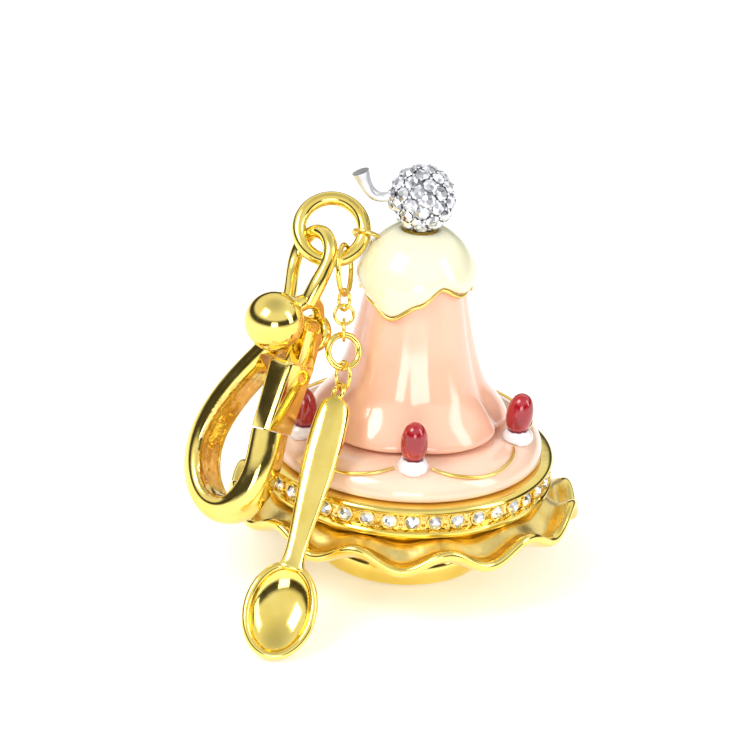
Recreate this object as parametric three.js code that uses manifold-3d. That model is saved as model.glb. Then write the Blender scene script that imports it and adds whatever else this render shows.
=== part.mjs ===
import * as THREE from 'three';
import Module from 'manifold-3d';

// Hanging charm: a fluted pudding on a ruffled dish, with a hook clasp and a small spoon.
// Millimetres, +Z up, the origin in the middle of the foot's underside, the front towards -Y.

const footRadius = 7.7;
const footHeight = 2.0;
const studRadius = 1.0;
const boreRadius = 1.3;
const dishRadius = 15.45;
const ruffleCount = 12;
const ruffleHeight = 0.95;
const bandRadius = 13.05;
const stoneCount = 40;
const stoneHeight = 8.75;
const tierRadius = 12.0;
const tierBottom = 10.22;
const berryTurns = [3, 73, 183, 295];
const valleyTurns = [3, 73, 128, 183, 238, 295, 363];
const berryCircle = 10.0;
const berryRadius = 1.25;
const ballRadius = 2.95;
const ballHeight = 33.45;
const hookWidth = 3.7;
const gateOpenEnd = -9.0;
const fit = 0.05;

const gold = new THREE.Color(0.86, 0.66, 0.2);
const silver = new THREE.Color(0.78, 0.78, 0.8);
const cream = new THREE.Color(0.94, 0.93, 0.79);
const pink = new THREE.Color(0.97, 0.72, 0.64);
const palePink = new THREE.Color(0.98, 0.8, 0.73);
const red = new THREE.Color(0.7, 0.03, 0.1);
const white = new THREE.Color(0.95, 0.93, 0.92);
const crystal = new THREE.Color(0.88, 0.9, 0.92);

const wasm = await Module();
wasm.setup();
const group = new THREE.Group();
group.name = 'pudding_charm';

const finishes = {
  gold: [gold, 0.18, 1],
  silver: [silver, 0.22, 1],
  cream: [cream, 0.18, 0],
  pink: [pink, 0.15, 0],
  palePink: [palePink, 0.15, 0],
  red: [red, 0.12, 0],
  white: [white, 0.3, 0],
  crystal: [crystal, 0.05, 0],
};

const vec = (x, y, z) => new THREE.Vector3(x, y, z);
const rad = (degrees) => (degrees * Math.PI) / 180;

// a point at a height, a radius and an angle turned from the front towards +X
function around(radius, degrees, z) {
  const a = rad(degrees);
  return vec(radius * Math.sin(a), -radius * Math.cos(a), z);
}

function lerpTable(table, x) {
  if (x <= table[0][0]) return table[0][1];
  for (let i = 1; i < table.length; i += 1) {
    if (x <= table[i][0]) {
      const t = (x - table[i - 1][0]) / (table[i][0] - table[i - 1][0]);
      return table[i - 1][1] + t * (table[i][1] - table[i - 1][1]);
    }
  }
  return table[table.length - 1][1];
}

// sections joined in order; closed joins the last to the first, otherwise both ends are filled
function loft(sections, closed = false) {
  const count = sections[0].length;
  const positions = [];
  const index = [];
  sections.forEach((section) => section.forEach((p) => positions.push(p.x, p.y, p.z)));
  const last = closed ? sections.length : sections.length - 1;
  for (let i = 0; i < last; i += 1) {
    const a = i * count;
    const b = ((i + 1) % sections.length) * count;
    for (let j = 0; j < count; j += 1) {
      const k = (j + 1) % count;
      index.push(a + j, a + k, b + k, a + j, b + k, b + j);
    }
  }
  if (!closed) {
    [0, sections.length - 1].forEach((which) => {
      const middle = vec(0, 0, 0);
      sections[which].forEach((p) => middle.add(p));
      middle.divideScalar(count);
      const centre = positions.length / 3;
      positions.push(middle.x, middle.y, middle.z);
      for (let j = 0; j < count; j += 1) {
        const k = (j + 1) % count;
        if (which === 0) index.push(centre, which * count + k, which * count + j);
        else index.push(centre, which * count + j, which * count + k);
      }
    });
  }
  const geometry = new THREE.BufferGeometry();
  geometry.setAttribute('position', new THREE.Float32BufferAttribute(positions, 3));
  geometry.setIndex(index);
  return facingOut(geometry);
}

function facingOut(geometry) {
  const p = geometry.attributes.position;
  const index = geometry.index.array;
  let volume = 0;
  const a = vec(0, 0, 0);
  const b = vec(0, 0, 0);
  const c = vec(0, 0, 0);
  for (let i = 0; i < index.length; i += 3) {
    a.fromBufferAttribute(p, index[i]);
    b.fromBufferAttribute(p, index[i + 1]);
    c.fromBufferAttribute(p, index[i + 2]);
    volume += a.dot(b.cross(c));
  }
  if (volume < 0) {
    for (let i = 0; i < index.length; i += 3) {
      const keep = index[i];
      index[i] = index[i + 1];
      index[i + 1] = keep;
    }
  }
  return geometry;
}

// a turned shape whose profile depends on the angle; hollow means the profile is a closed loop
function turned(profileAt, steps, hollow) {
  const sections = [];
  for (let i = 0; i < steps; i += 1) {
    const degrees = (360 * i) / steps;
    sections.push(profileAt(degrees).map(([r, z]) => around(r, degrees, z)));
  }
  if (hollow) return loft(sections, true);
  const rings = sections[0].map((_, j) => sections.map((section) => section[j]));
  return loft(rings, false);
}

// a wire or bar along a path; section gives [side, up] offsets for each step
function bar(path, ups, sectionAt, closed = false) {
  const sections = path.map((p, i) => {
    const before = path[closed ? (i + path.length - 1) % path.length : Math.max(0, i - 1)];
    const after = path[closed ? (i + 1) % path.length : Math.min(path.length - 1, i + 1)];
    const along = after.clone().sub(before).normalize();
    const up = ups[i].clone().addScaledVector(along, -ups[i].dot(along)).normalize();
    const side = along.clone().cross(up).normalize();
    return sectionAt(i / (path.length - 1)).map(([s, u]) => (
      p.clone().addScaledVector(side, s).addScaledVector(up, u)
    ));
  });
  return loft(sections, closed);
}

function roundSection(radius, sides, flat = 1) {
  const out = [];
  for (let i = 0; i < sides; i += 1) {
    const a = (2 * Math.PI * i) / sides;
    out.push([radius * Math.cos(a), radius * flat * Math.sin(a)]);
  }
  return out;
}

function solid(geometry) {
  const index = geometry.index ? geometry.index.array : null;
  const position = geometry.attributes.position;
  const keys = new Map();
  const verts = [];
  const tris = [];
  const total = index ? index.length : position.count;
  const idOf = (i) => {
    const key = [position.getX(i), position.getY(i), position.getZ(i)].map((n) => Math.round(n * 1e5) + 0).join();
    if (!keys.has(key)) {
      keys.set(key, verts.length / 3);
      verts.push(position.getX(i), position.getY(i), position.getZ(i));
    }
    return keys.get(key);
  };
  for (let i = 0; i < total; i += 3) {
    const t = [0, 1, 2].map((k) => idOf(index ? index[i + k] : i + k));
    if (t[0] !== t[1] && t[1] !== t[2] && t[0] !== t[2]) tris.push(...t);
  }
  return new wasm.Manifold(new wasm.Mesh({
    numProp: 3,
    vertProperties: new Float32Array(verts),
    triVerts: new Uint32Array(tris),
  }));
}

function fromSolid(manifold) {
  const mesh = manifold.getMesh();
  const geometry = new THREE.BufferGeometry();
  geometry.setAttribute('position', new THREE.Float32BufferAttribute(mesh.vertProperties, 3));
  geometry.setIndex([...mesh.triVerts]);
  return geometry;
}

function put(name, geometry, finish) {
  const [color, roughness, metalness] = finishes[finish];
  const material = new THREE.MeshStandardMaterial({ color, roughness, metalness });
  const mesh = new THREE.Mesh(geometry, material);
  mesh.name = name;
  geometry.computeVertexNormals();
  group.add(mesh);
  return mesh;
}

function ball(radius, centre, wide = 20, high = 12) {
  const geometry = new THREE.SphereGeometry(radius, wide, high);
  geometry.translate(centre.x, centre.y, centre.z);
  return geometry;
}

// a frame from three directions, used to lay a piece out flat and then place it
function placed(geometry, origin, x, y, z) {
  const matrix = new THREE.Matrix4().makeBasis(x, y, z).setPosition(origin);
  geometry.applyMatrix4(matrix);
  return facingOut(geometry);
}

function ringIn(origin, normal, radius, wire, steps = 28, sides = 8) {
  const geometry = new THREE.TorusGeometry(radius, wire, sides, steps);
  const z = normal.clone().normalize();
  const x = new THREE.Vector3().crossVectors(vec(0, 0, 1), z).normalize();
  const y = new THREE.Vector3().crossVectors(z, x);
  geometry.applyMatrix4(new THREE.Matrix4().makeBasis(x, y, z).setPosition(origin));
  return geometry;
}

// ---- dish, foot and the stud that holds the stack

const footProfile = [
  [footRadius - 0.5, 0], [footRadius, 0.4], [footRadius, footHeight - 0.4],
  [footRadius - 0.4, footHeight], [2.6, footHeight], [2.6, 1.0],
];
put('foot_disc', turned(() => footProfile, 48, false), 'gold');

const studProfile = [
  [0, 1.1], [2.2, 1.1], [2.2, footHeight - 0.1], [studRadius, footHeight - 0.1],
  [studRadius, 24.6], [studRadius - 0.3, 25], [0, 25],
];
put('centre_stud', turned(() => studProfile.map(([r, z]) => [Math.max(r, 0.001), z]), 20, false), 'silver');

function dishProfile(degrees) {
  const wave = -Math.cos(rad(ruffleCount * degrees)) * ruffleHeight;
  return [
    [boreRadius, 2.1], [7.4, 2.1], [12.0, 4.3 + 0.2 * wave], [dishRadius - 0.3, 5.55 + 0.95 * wave],
    [dishRadius + 0.2, 5.95 + wave], [dishRadius + 0.15, 6.45 + wave], [dishRadius - 0.3, 6.65 + wave],
    [14.2, 6.05 + 0.75 * wave], [11.8, 5.35 + 0.2 * wave], [8.0, 3.1], [boreRadius, 3.1],
  ];
}
put('ruffled_dish', turned(dishProfile, ruffleCount * 6, true), 'gold');

const bandProfile = [
  [boreRadius, 3.2], [7.7, 3.2], [11.4, 5.85], [12.0, 7.0], [12.7, 7.35], [bandRadius, 7.6],
  [bandRadius, 8.0], [12.45, 8.05], [12.45, 9.45], [bandRadius - 0.05, 9.5],
  [bandRadius, 9.75], [12.8, 10.1], [12.3, 10.15], [boreRadius, 10.15],
];
put('crystal_band', turned(() => bandProfile, 48, true), 'gold');

function stripProfile(degrees) {
  const bulge = 0.12 * Math.cos(rad(stoneCount * degrees));
  return [[12.5, 8.12], [12.78 + bulge, 8.3], [12.86 + bulge, stoneHeight], [12.78 + bulge, 9.2], [12.5, 9.38]];
}
put('crystal_row', turned(stripProfile, stoneCount * 2, true), 'crystal');

// ---- tier, swags, berries and cream

const tierTop = [[8.6, 12.82], [9.6, 12.74], [10.5, 12.5], [11.3, 12.0], [11.85, 11.2], [tierRadius, 10.6]];
const tierProfile = [
  [boreRadius, tierBottom], [11.7, tierBottom], [tierRadius, 10.6], [11.85, 11.2], [11.3, 12.0],
  [10.5, 12.5], [9.6, 12.74], [8.6, 12.82], [boreRadius, 12.82],
];
put('tier', turned(() => tierProfile, 48, true), 'palePink');

function swag(number) {
  const start = berryTurns[number];
  const wide = ((berryTurns[(number + 1) % 4] - start + 360) % 360) - 18;
  const path = [];
  const ups = [];
  for (let i = 0; i <= 16; i += 1) {
    const across = 9 + (wide * i) / 16;
    const t = Math.abs(2 * (i / 16) - 1);
    const radius = 10.25 + 1.15 * (1 - t ** 2.4);
    const slope = (lerpTable(tierTop, radius + 0.1) - lerpTable(tierTop, radius - 0.1)) / 0.2;
    const out = 1 / Math.hypot(1, slope);
    const lift = 0.19;
    const z = lerpTable(tierTop, radius) + lift * out;
    path.push(around(radius - slope * out * lift, start + across, z));
    const side = around(1, start + across, 0);
    ups.push(vec(-slope * out * side.x, -slope * out * side.y, out));
  }
  return bar(path, ups, (t) => roundSection(0.14 * (0.55 + 0.45 * Math.min(1, 8 * Math.min(t, 1 - t))), 6));
}

const tierSolid = solid(turned(() => tierProfile.map(([r, z]) => [r === boreRadius ? 0.001 : r, z]), 48, false));
for (let n = 0; n < berryTurns.length; n += 1) {
  put(`swag_${n + 1}`, swag(n), 'gold');
}

const bodyTable = [
  [12.9, 7.7], [13.25, 8.2], [13.7, 8.15], [14.5, 7.65], [16.0, 6.85], [18.1, 6.1], [20.0, 5.5],
  [21.5, 5.15], [24.2, 4.6], [26.0, 4.3], [27.6, 3.95], [28.6, 3.3], [29.2, 2.3],
];

function bodyRadius(degrees, z) {
  const turn = (((degrees - 3) % 360) + 360) % 360 + 3;
  let i = 1;
  while (turn > valleyTurns[i]) i += 1;
  const half = (valleyTurns[i] - valleyTurns[i - 1]) / 2;
  const across = 1 - Math.abs(turn - valleyTurns[i] + half) / half;
  const valley = 1 - Math.sqrt(Math.max(0, 1 - (1 - across) ** 2));
  const depth = lerpTable([[12.9, 1.05], [16, 0.75], [20, 0.42], [27, 0.2], [29.2, 0]], z);
  return lerpTable(bodyTable, z) - depth * valley;
}
function bodyProfile(degrees) {
  const outer = bodyTable.map(([z]) => [bodyRadius(degrees, z), z]);
  return [[boreRadius, 12.9], ...outer, [boreRadius, 29.2]];
}
function bodyShell() {
  return turned((degrees) => [[0.001, 12.9], ...bodyTable.map(([z]) => [bodyRadius(degrees, z), z]), [0.001, 29.2]], 60, false);
}
put('pudding_body', turned(bodyProfile, 60, true), 'pink');

function berry(number) {
  const turn = berryTurns[number];
  const sections = [];
  const shape = [[0, 0.25], [0.35, 0.75], [0.9, 1.1], [1.6, 1.24], [2.4, 1.22], [3.1, 1.05], [3.6, 0.75], [3.85, 0.35]];
  const outward = around(1, turn, 0);
  const sideways = around(1, turn + 90, 0);
  const lean = rad(7);
  const upward = vec(outward.x * Math.sin(lean), outward.y * Math.sin(lean), Math.cos(lean));
  const across = vec(outward.x * Math.cos(lean), outward.y * Math.cos(lean), -Math.sin(lean));
  const foot = around(berryCircle - 0.15, turn, 13.15);
  shape.forEach(([h, r]) => {
    const section = [];
    for (let j = 0; j < 12; j += 1) {
      const a = (2 * Math.PI * j) / 12;
      section.push(foot.clone().addScaledVector(upward, h)
        .addScaledVector(across, r * Math.cos(a)).addScaledVector(sideways, r * Math.sin(a)));
    }
    sections.push(section);
  });
  return loft(sections);
}

function dollop(number, berryGeometry) {
  const turn = berryTurns[number];
  const middle = around(berryCircle + 0.05, turn, 12.95);
  const mound = new THREE.SphereGeometry(1, 12, 8);
  mound.scale(1.42, 1.4, 0.95);
  mound.rotateZ(rad(turn));
  mound.translate(middle.x, middle.y, middle.z);
  const grown = berryGeometry.clone();
  const centre = around(berryCircle, turn, 15);
  grown.translate(-centre.x, -centre.y, -centre.z);
  grown.scale(1.06, 1.06, 1.03);
  grown.translate(centre.x, centre.y, centre.z);
  const cutTier = tierSolid.translate([0, 0, fit]);
  return fromSolid(solid(mound).subtract(cutTier).subtract(solid(grown)).subtract(solid(bodyShell())));
}
for (let n = 0; n < berryTurns.length; n += 1) {
  const shape = berry(n);
  put(`berry_${n + 1}`, shape, 'red');
  put(`cream_dollop_${n + 1}`, dollop(n, shape), 'white');
}

// ---- custard cap with its drip edge

const edgeTable = [
  [-105, 24.7], [-76, 26.0], [-50, 25.1], [-25, 24.15], [3, 25.5], [27, 26.9], [55, 25.9], [80, 26.3],
  [108, 24.9], [135, 24.3], [165, 26.2], [195, 26.8], [225, 25.4], [255, 24.7],
];
function edgeHeight(degrees) {
  const d = ((((degrees + 105) % 360) + 360) % 360) - 105;
  let i = 1;
  while (d > edgeTable[i][0]) i += 1;
  const t = (d - edgeTable[i - 1][0]) / (edgeTable[i][0] - edgeTable[i - 1][0]);
  const s = t * t * (3 - 2 * t);
  return edgeTable[i - 1][1] * (1 - s) + edgeTable[i][1] * s;
}
const domeTable = [
  [24.0, 5.4], [26.4, 5.42], [27.2, 5.3], [28.2, 4.85], [29.0, 4.35], [29.8, 3.7], [30.35, 3.0], [30.75, 2.2],
];
function capProfile(degrees) {
  const low = edgeHeight(degrees);
  const inner = (z) => lerpTable(bodyTable, z) + 0.08;
  const top = 30.75;
  const outer = [];
  for (let i = 0; i <= 5; i += 1) {
    const z = low + 0.5 + (top - low - 0.5) * (1 - (1 - i / 5) ** 1.35);
    outer.push([lerpTable(domeTable, z), z]);
  }
  return [
    [0.001, 29.3], [2.3, 29.28], [3.35, 28.68], [inner(27.6), 27.7], [inner(low + 0.2), low + 0.2],
    [inner(low) + 0.3, low], [inner(low) + 0.62, low + 0.12], ...outer,
    [1.55, 30.72], [1.45, 29.9], [0.001, 29.9],
  ];
}
put('custard_cap', turned(capProfile, 54, false), 'cream');

function capTrim() {
  const path = [];
  const ups = [];
  for (let i = 0; i < 72; i += 1) {
    const degrees = 5 * i;
    const low = edgeHeight(degrees);
    path.push(around(lerpTable(bodyTable, low) + 0.42, degrees, low - 0.2));
    ups.push(around(1, degrees, 0));
  }
  return bar(path, ups, () => roundSection(0.15, 6), true);
}
put('cap_trim', capTrim(), 'gold');

// ---- cherry

const seatProfile = [[0, 29.95], [1.35, 29.95], [1.35, 30.76], [0.7, 30.5], [0, 30.43]];
put('cherry_seat', turned(() => seatProfile.map(([r, z]) => [Math.max(r, 0.001), z]), 20, false), 'gold');

const stemPath = new THREE.CatmullRomCurve3([
  vec(-2.86, -0.1, 33.5), vec(-3.5, -0.15, 33.45), vec(-4.15, -0.2, 33.75), vec(-4.7, -0.2, 34.5), vec(-5.35, -0.2, 35.55),
]);
function stem() {
  const path = stemPath.getPoints(12);
  const ups = path.map(() => vec(0, 1, 0));
  const widths = [[0, 0.36], [0.15, 0.3], [0.5, 0.4], [1, 0.72]];
  return bar(path, ups, (t) => roundSection(lerpTable(widths, t), 10, 0.8));
}
const ballCentre = vec(0, 0, ballHeight);
const ballSolid = solid(ball(ballRadius, ballCentre, 20, 14));
put('cherry_ball', fromSolid(ballSolid), 'silver');
const bigBall = solid(ball(ballRadius + 0.06, ballCentre, 24, 16));
put('cherry_stem', fromSolid(solid(stem()).subtract(bigBall)), 'silver');

// ---- hanger: eyelet on the cap's shoulder and the heavy ring

const ringCentre = vec(-7.58, 0, 30.1);
const ringNormal = vec(0, -0.78, 0.62).normalize();
const ringRadius = 2.8;
const ringWire = 0.5;
const ringSide = new THREE.Vector3().crossVectors(vec(0, 0, 1), ringNormal).normalize();
const ringUp = new THREE.Vector3().crossVectors(ringNormal, ringSide);
function onRing(degrees) {
  return ringCentre.clone().addScaledVector(ringSide, ringRadius * Math.cos(rad(degrees)))
    .addScaledVector(ringUp, ringRadius * Math.sin(rad(degrees)));
}
function alongRing(degrees) {
  return ringSide.clone().multiplyScalar(-Math.sin(rad(degrees))).addScaledVector(ringUp, Math.cos(rad(degrees)));
}
const eyeletTurn = -12;
const eyeletPoint = onRing(eyeletTurn);
put('big_ring', ringIn(ringCentre, ringNormal, ringRadius, ringWire, 32, 8), 'gold');
const eyeletRing = solid(ringIn(eyeletPoint.clone().add(vec(0.28, 0.35, 0.1)), alongRing(eyeletTurn), 1.14, 0.24, 20, 6));
const capSolid = solid(turned(capProfile, 54, false));
const capBig = capSolid.translate([-fit * 0.6, 0, 0]).add(capSolid.translate([0, 0, fit]));
const innerPlug = solid(turned(() => [[0.001, 27], [5.0, 27], [4.2, 29], [3, 30], [0.001, 30]], 40, false));
put('hanger_eyelet', fromSolid(eyeletRing.subtract(capBig).subtract(innerPlug)), 'gold');

// ---- hook clasp, drawn flat: u along the hinge pin, v across the hook, w along it

const hinge = vec(-10.15, -5.2, 23.0);
const loopHalf = 2.2;
const pinWay = vec(-0.58, -0.69, 0.45).normalize();
const downRaw = vec(-0.225, -0.43, -0.87);
const hookDown = downRaw.clone().addScaledVector(pinWay, -downRaw.dot(pinWay)).normalize();
const across = new THREE.Vector3().crossVectors(pinWay, hookDown).normalize();
const hookUp = hookDown.clone().multiplyScalar(-1);
const place = (geometry) => placed(geometry, hinge, pinWay, across, hookUp);

const hookCurve = new THREE.CatmullRomCurve3([
  vec(0, -1.1, -1.2), vec(0, -2.7, -3.5), vec(0, -4.6, -6.3), vec(0, -6.15, -9.3), vec(0, -6.65, -12.3),
  vec(0, -5.75, -15.2), vec(0, -3.4, -17.0), vec(0, -1.0, -16.6), vec(0, 0.35, -14.6), vec(0, 0.75, -12.2),
  vec(0, 0.55, -9.72),
]);
function hookSection(t) {
  const half = hookWidth / 2;
  const thick = 1.12 + 0.12 * Math.sin(Math.PI * t);
  return [
    [-half, -0.75 * thick], [-half, 0.1], [-half * 0.86, 0.62 * thick], [-half * 0.45, thick], [half * 0.45, thick],
    [half * 0.86, 0.62 * thick], [half, 0.1], [half, -0.75 * thick], [half * 0.9, -thick], [-half * 0.9, -thick],
  ];
}
function hookBar() {
  const path = hookCurve.getSpacedPoints(26).map((p) => p.multiplyScalar(0.957));
  const ups = path.map((p, i) => {
    const ahead = path[Math.min(i + 1, path.length - 1)].clone().sub(path[Math.max(i - 1, 0)]);
    return vec(0, ahead.z, -ahead.y);
  });
  return bar(path, ups, hookSection);
}
function roundBar(points, up, radii, steps, sides) {
  const path = new THREE.CatmullRomCurve3(points).getSpacedPoints(steps);
  return bar(path, path.map(() => up.clone()), (t) => roundSection(lerpTable(radii, t), sides));
}
function eyeLoop() {
  const points = [vec(1.3, -0.3, 0.9), vec(0.4, -1.1, 1.9), vec(-0.8, -2.2, 3.3), vec(-1.3, -2.9, 4.8)];
  for (let i = 0; i <= 6; i += 1) {
    const a = Math.PI * (1 - i / 6);
    const off = loopHalf * Math.cos(a);
    points.push(vec(-0.95 + 0.22 * off, -0.88 + 0.97 * off, 6.3 + loopHalf * Math.sin(a)));
  }
  points.push(vec(-0.35, 1.2, 5.0), vec(-0.2, 0.95, 3.9), vec(-0.2, 0.6, 2.6));
  return roundBar(points, vec(0.97, -0.22, 0), [[0, 0.6], [0.25, 0.54], [0.55, 0.58], [0.75, 0.6], [0.85, 0.66], [1, 0.7]], 34, 10);
}
// the arch over the gate's barrel, from the ball to the knuckle
function yoke() {
  const points = [vec(-2.8, 0, 1.1), vec(-2.45, 0.1, 2.1), vec(-1.3, 0.3, 2.6), vec(0.2, 0.3, 2.3), vec(1.5, 0, 1.2)];
  return roundBar(points, vec(0, 1, 0), [[0, 0.48], [0.3, 0.6], [1, 0.7]], 12, 10);
}
function drum(radius, from, to, v = 0, w = 0, sides = 24) {
  const geometry = new THREE.CylinderGeometry(radius, radius, to - from, sides);
  geometry.rotateZ(-Math.PI / 2);
  geometry.translate((from + to) / 2, v, w);
  return geometry;
}
function gateLeaf() {
  const half = hookWidth / 2;
  const rows = [[-2.95, 0.1, 1.95], [-3.3, -0.35, 1.95], [-5.2, -0.4, 1.75], [-7.4, -0.4, 1.55], [gateOpenEnd, -0.4, 1.4]];
  return rows.map(([w, inner, outer]) => [
    vec(-half + 0.15, inner, w), vec(-half, inner + 0.3, w), vec(-half, outer - 0.35, w), vec(-half + 0.35, outer, w),
    vec(half - 0.35, outer, w), vec(half, outer - 0.35, w), vec(half, inner + 0.3, w), vec(half - 0.15, inner, w),
  ]);
}
// the room the lever needs when it swings in
function gateSwing() {
  const neck = solid(new THREE.BoxGeometry(2.6, 1.7, 3.3).translate(-0.9, 0.75, -1.65));
  const lever = solid(loft(gateLeaf())).add(neck).add(solid(new THREE.BoxGeometry(3.9, 1.6, 1.4).translate(0, 0.85, -3.2)));
  const grown = lever.add(lever.translate([0, -0.15, 0])).add(lever.translate([0, 0, 0.12]));
  return [5, 10, 15, 20].map((turn) => grown.rotate([-turn, 0, 0])).reduce((a, b) => a.add(b));
}
const pinHole = solid(drum(0.56, -4.2, 1.9));
const hookBody = solid(hookBar())
  .subtract(gateSwing())
  .subtract(solid(drum(1.6, -4, 0.42)))
  .subtract(solid(new THREE.BoxGeometry(6, 6, 2.2).translate(-2.55, 1.35, -0.7)))
  .add(solid(eyeLoop()))
  .add(solid(yoke()))
  .add(solid(ball(2.55, vec(3.0, 0, 0), 20, 12)))
  .add(solid(drum(1.66, -3.3, -2.25)))
  .subtract(solid(drum(1.1, -3.5, -3.0)))
  .subtract(pinHole)
  .subtract(solid(drum(1.42, -2.2, 0.4)))
  .subtract(solid(new THREE.BoxGeometry(9, 3, 0.4).translate(0, -1.9, -9.2)));
put('hook_body', place(fromSolid(hookBody)), 'gold');
put('hinge_pin', place(drum(0.44, -2.95, 1.7, 0, 0, 20)), 'gold');

const gate = solid(loft(gateLeaf()))
  .add(solid(drum(1.25, -2.05, 0.25)))
  .add(solid(new THREE.BoxGeometry(2.3, 1.5, 3.2).translate(-0.9, 0.75, -1.6)))
  .subtract(solid(ball(2.88, vec(3.0, 0, 0), 20, 12)))
  .subtract(solid(drum(0.56, -2.5, 0.6)))
  .subtract(solid(drum(0.98, -2.5, -1.1)));
put('gate', place(fromSolid(gate)), 'gold');

function coil() {
  const path = [];
  const ups = [];
  for (let i = 0; i <= 30; i += 1) {
    const a = (2 * Math.PI * 2.6 * i) / 30;
    path.push(vec(-1.95 + 0.7 * (i / 30), 0.77 * Math.cos(a), 0.77 * Math.sin(a)));
    ups.push(vec(1, 0, 0));
  }
  return bar(path, ups, () => roundSection(0.1, 5));
}
put('gate_spring', place(coil()), 'silver');

// ---- chain: each ring hangs in the one above, along one falling line

const chainStart = vec(-6.24, -2.35, 27.4);
const chainWay = vec(0.045, -0.43, -0.903).normalize();
const chainRings = [
  ['jump_ring', 0, 14, 2.15, 0.25], ['chain_link_1', 2.58, -32, 0.88, 0.17], ['chain_link_2', 3.85, 78, 0.82, 0.17],
  ['chain_link_3', 5.15, 0, 0.9, 0.17], ['middle_ring', 6.98, 68, 1.42, 0.26], ['spoon_ring', 9.08, -30, 1.2, 0.19],
];
chainRings.forEach(([name, down, turn, radius, wire]) => {
  const normal = vec(1, 0, 0).addScaledVector(chainWay, -chainWay.x).normalize().applyAxisAngle(chainWay, rad(turn));
  const steps = radius > 1.3 ? 22 : 16;
  put(name, ringIn(chainStart.clone().addScaledVector(chainWay, down), normal, radius, wire, steps, 6), 'gold');
});

// ---- spoon, drawn along its length with the bowl facing the front

const spoonWay = vec(-0.195, -0.63, -0.752).normalize();
const spoonEye = chainStart.clone().addScaledVector(chainWay, 9.06).addScaledVector(spoonWay, 1.46);
const spoonFaceRaw = vec(0.055, -0.772, 0.629);
const spoonFace = spoonFaceRaw.clone().addScaledVector(spoonWay, -spoonFaceRaw.dot(spoonWay)).normalize();
const spoonSide = new THREE.Vector3().crossVectors(spoonWay, spoonFace).normalize();
const bowlMiddle = 19.6;
const bowlHalf = [3.05, 4.2];

function spoonHandle() {
  const widths = [[0.35, 0.55], [0.7, 0.95], [1.4, 1.3], [4.5, 1.5], [8, 1.35], [12, 1.0], [15, 0.78], [16.6, 0.85], [17.6, 0.9]];
  const rows = [0.5, 0.8, 1.4, 2.8, 4.5, 7, 10, 13, 15, 16.6, 17.4];
  return loft(rows.map((along) => {
    const half = lerpTable(widths, along);
    const thick = 0.42 * half + 0.2;
    return [
      [-half, 0], [-half * 0.62, thick], [half * 0.5, thick * 1.05], [half, 0.1], [half * 0.7, -thick], [-half * 0.7, -thick],
    ].map(([side, face]) => vec(side, face, along));
  }));
}
function bowlSkin(depth, wide, long, rise, level) {
  const geometry = new THREE.SphereGeometry(1, 18, 12);
  geometry.scale(wide, depth, long);
  geometry.translate(0, rise, level);
  return solid(geometry);
}
const bowlOuter = bowlSkin(1.75, bowlHalf[0], bowlHalf[1], 0, bowlMiddle)
  .subtract(solid(new THREE.BoxGeometry(8, 4, 10).translate(0, 2.42, bowlMiddle)));
const bowlInner = bowlSkin(1.55, bowlHalf[0] - 0.55, bowlHalf[1] - 0.6, 0.45, bowlMiddle);
const eyeSolid = solid(new THREE.TorusGeometry(0.66, 0.22, 8, 20).rotateY(rad(90)).rotateZ(rad(35)));
const spoonBody = bowlOuter.add(solid(spoonHandle())).subtract(bowlInner).add(eyeSolid)
  .subtract(solid(drum(0.4, -0.6, 0.6, 0, 0, 12).rotateZ(rad(35))));
put('spoon', placed(fromSolid(spoonBody), spoonEye, spoonSide, spoonFace, spoonWay), 'gold');

export default group;
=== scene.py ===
import math
import random

import bpy
from mathutils import Matrix, Vector


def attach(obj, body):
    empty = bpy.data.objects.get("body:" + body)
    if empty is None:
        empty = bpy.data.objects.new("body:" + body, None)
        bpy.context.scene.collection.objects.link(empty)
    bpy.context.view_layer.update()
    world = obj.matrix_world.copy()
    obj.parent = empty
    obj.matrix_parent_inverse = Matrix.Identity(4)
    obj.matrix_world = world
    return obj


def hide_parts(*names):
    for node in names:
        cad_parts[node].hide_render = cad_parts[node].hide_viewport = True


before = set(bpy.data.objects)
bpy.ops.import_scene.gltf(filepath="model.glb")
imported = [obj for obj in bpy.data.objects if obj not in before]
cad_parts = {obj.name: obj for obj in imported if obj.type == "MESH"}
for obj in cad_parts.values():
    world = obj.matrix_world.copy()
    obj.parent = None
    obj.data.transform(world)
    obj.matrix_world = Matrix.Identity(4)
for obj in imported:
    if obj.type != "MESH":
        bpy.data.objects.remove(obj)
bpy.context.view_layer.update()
mm = 0.001
random.seed(7)
print("frame loaded")

# the view
view = dict(aim=(-3.13, 0, 16.68), away=260, tip=24.0, roll=3.3, lens=142.3)


def addCamera(s):
    tip, roll = math.radians(s["tip"]), math.radians(s["roll"])
    look = Vector((0, math.cos(tip), -math.sin(tip)))
    flatSide = Vector((1, 0, 0))
    flatUp = Vector((0, math.sin(tip), math.cos(tip)))
    side = flatSide * math.cos(roll) + flatUp * math.sin(roll)
    up = flatUp * math.cos(roll) - flatSide * math.sin(roll)
    at = (Vector(s["aim"]) - look * s["away"]) * mm
    bpy.ops.object.camera_add(location=at)
    camera = bpy.context.object
    turn = Matrix((side, up, -look)).transposed().to_4x4()
    camera.matrix_world = Matrix.Translation(at) @ turn
    camera.data.lens = s["lens"]
    camera.data.sensor_width = 36
    camera.data.clip_start = 0.01
    camera.data.clip_end = 10
    bpy.context.scene.camera = camera


addCamera(view)
print("camera placed")


def deselectAll():
    if bpy.context.object and bpy.context.object.mode != "OBJECT":
        bpy.ops.object.mode_set(mode="OBJECT")
    bpy.ops.object.select_all(action="DESELECT")


def pick(obj):
    deselectAll()
    bpy.context.view_layer.objects.active = obj
    obj.select_set(True)


def editAll(obj):
    pick(obj)
    bpy.ops.object.mode_set(mode="EDIT")
    bpy.ops.mesh.select_all(action="SELECT")


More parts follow.
